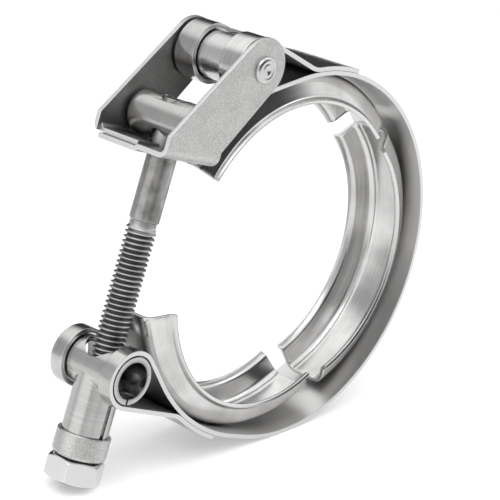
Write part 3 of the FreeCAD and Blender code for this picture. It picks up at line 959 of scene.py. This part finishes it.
floor_z = model_box[0][2] - 0.02 * MM
corners = [(x, y, floor_z) for x, y in ((-1, -1), (1, -1), (1, 1), (-1, 1))]
floor_mesh = bpy.data.meshes.new("floor")
floor_mesh.from_pydata([(FLOOR_HALF * x, FLOOR_HALF * y, z) for x, y, z in corners], [], [(0, 1, 2, 3)])
floor = bpy.data.objects.new("floor", floor_mesh)
scene.collection.objects.link(floor)
paper = bpy.data.materials.new("white floor")
paper.use_nodes = True
m = Maker(paper.node_tree)
shader = paper.node_tree.nodes["Principled BSDF"]
shader.inputs["Base Color"].default_value = (0.93, 0.93, 0.93, 1)
shader.inputs["Roughness"].default_value = 0.14
shader.inputs["Specular IOR Level"].default_value = 0.22
shader.inputs["Emission Color"].default_value = (1, 1, 1, 1)
path = m.node("ShaderNodeLightPath").outputs
paper_glow = m.plus(m.times(path["Is Camera Ray"], CAMERA_GLOW), m.times(mirrored(m, path), MIRROR_GLOW))
m.feed(shader.inputs["Emission Strength"], paper_glow)
floor.data.materials.append(paper)
print("floor lies at z", round(floor_z / MM, 2), "mm")

# %% World
SOFT_LIGHT = 0.85
world = bpy.data.worlds.new("white tent")
scene.world = world
world.use_nodes = True
m = Maker(world.node_tree)
back = world.node_tree.nodes["Background"]
path = m.node("ShaderNodeLightPath").outputs
seen = m.larger(path["Is Camera Ray"], mirrored(m, path))
back.inputs["Color"].default_value = (1, 1, 1, 1)
m.feed(back.inputs["Strength"], m.between(seen, 0.0, 1.0, SOFT_LIGHT, 1.0))
print("world is white to the camera and lights at", SOFT_LIGHT)

# %% [markdown]
# ## The tent's boards
# In an all-white room steel looks like plaster. Grey boards between bright cloths give it the
# dark bands that the eye reads as metal. Real boards would each need a place and a stand. One
# sphere round the clamp, seen only by reflections, holds them all: its brightness follows the
# direction, with a bright roof and a few bright panels.


# %% A sphere round the clamp
def tent(radius=1.0, rows=40, cols=96):
    """Sphere seen from inside: point = radius (cos e cos a, cos e sin a, sin e)."""
    e = np.linspace(-math.pi / 2, math.pi / 2, rows + 1)[1:-1]
    a = np.linspace(0, 2 * math.pi, cols, endpoint=False)
    e, a = np.meshgrid(e, a, indexing="ij")
    points = radius * np.stack([np.cos(e) * np.cos(a), np.cos(e) * np.sin(a), np.sin(e)], -1)
    made = bpy.data.objects.new("tent", rings_to_mesh("tent", points))
    scene.collection.objects.link(made)
    made.visible_camera = False
    made.visible_diffuse = False
    made.visible_shadow = False
    return made


room = tent()
print("tent has", len(room.data.polygons), "faces")

# %% Panels and roof
# each panel: middle direction, half width and soft edge in degrees, and brightness
PANELS = ((172, 22, 14, 1.0), (136, 20, 25, 0.4), (344, 18, 14, 0.9), (222, 12, 20, 0.5))
ROOF_STARTS, ROOF_FULL = 0.42, 0.75
BOARD_GREY, CLOTH_WHITE = 0.05, 1.35
cloth = bpy.data.materials.new("tent cloth and grey boards")
cloth.use_nodes = True
m = Maker(cloth.node_tree)
cloth.node_tree.nodes.remove(cloth.node_tree.nodes["Principled BSDF"])
xyz = m.parts(m.place())
azimuth = m.math("ARCTAN2", xyz["Y"], xyz["X"])


def panel(middle, half, edge):
    """1 within half an angle of a middle direction, falling to 0 over edge, all in degrees."""
    off = m.math("WRAP", m.math("SUBTRACT", azimuth, math.radians(middle)), math.pi, -math.pi)
    return m.soft(m.math("ABSOLUTE", off), math.radians(half), math.radians(half + edge), 1.0, 0.0)


glow = m.soft(xyz["Z"], ROOF_STARTS, ROOF_FULL)
for middle, half, edge, bright in PANELS:
    glow = m.larger(glow, m.times(panel(middle, half, edge), bright))
strength = m.between(glow, 0.0, 1.0, BOARD_GREY, CLOTH_WHITE)
lit = m.node("ShaderNodeEmission", {"Color": (1, 1, 1, 1), "Strength": strength})
m.feed(cloth.node_tree.nodes["Material Output"].inputs["Surface"], lit.outputs[0])
room.data.materials.append(cloth)
print("tent has a roof and", len(PANELS), "panels")

# %% [markdown]
# ## Lamps
# The boards are seen only in reflections and light nothing on the floor. Two large square lamps,
# like softboxes, light the floor and the steel and give soft shadows. A sun would need less
# setting up, but its shadows are too hard for a white table.


# %% Softboxes
def softbox(name, at, size, watts):
    """Square area lamp at a point, facing the origin."""
    data = bpy.data.lights.new(name, "AREA")
    data.size = size
    data.energy = watts
    made = bpy.data.objects.new(name, data)
    made.location = at
    made.rotation_euler = (-Vector(at)).to_track_quat("-Z", "Y").to_euler()
    scene.collection.objects.link(made)
    print(name, "lamp:", watts, "W")


softbox("key", (-0.35, -0.25, 0.85), 0.8, 3.0)
softbox("fill", (0.6, -0.5, 0.6), 0.8, 2.0)

# %% [markdown]
# ## Camera
# The photograph was taken from the left, the front and a little above, with a long lens, so that
# the ring is hardly distorted. Placing a camera by hand and eye takes many tries. This one was
# worked out from the ring, the loops and the bolt, and is given by its place, the direction it
# looks in and the direction of the picture's right edge.

# %% Camera
CAMERA_AT = Vector((-0.2797, -0.2450, 0.1332))
LOOKS_ALONG = Vector((0.70043, 0.62755, -0.33996))
PICTURE_RIGHT = Vector((0.68733, -0.72143, 0.08439))
SENSOR_WIDTH = 36.0
LENS = 140.07
view_dir = LOOKS_ALONG.normalized()
up = PICTURE_RIGHT.normalized().cross(view_dir).normalized()
right = view_dir.cross(up).normalized()
data = bpy.data.cameras.new("portrait")
data.sensor_width = SENSOR_WIDTH
data.lens = LENS
data.clip_start = 0.01
camera = bpy.data.objects.new("portrait", data)
place = Matrix((right, up, -view_dir)).transposed().to_4x4()
place.translation = CAMERA_AT
camera.matrix_world = place
scene.collection.objects.link(camera)
scene.camera = camera
scene.view_settings.view_transform = "Standard"
print("camera is", round(CAMERA_AT.length / MM), "mm from the ring's middle")

# %% [markdown]
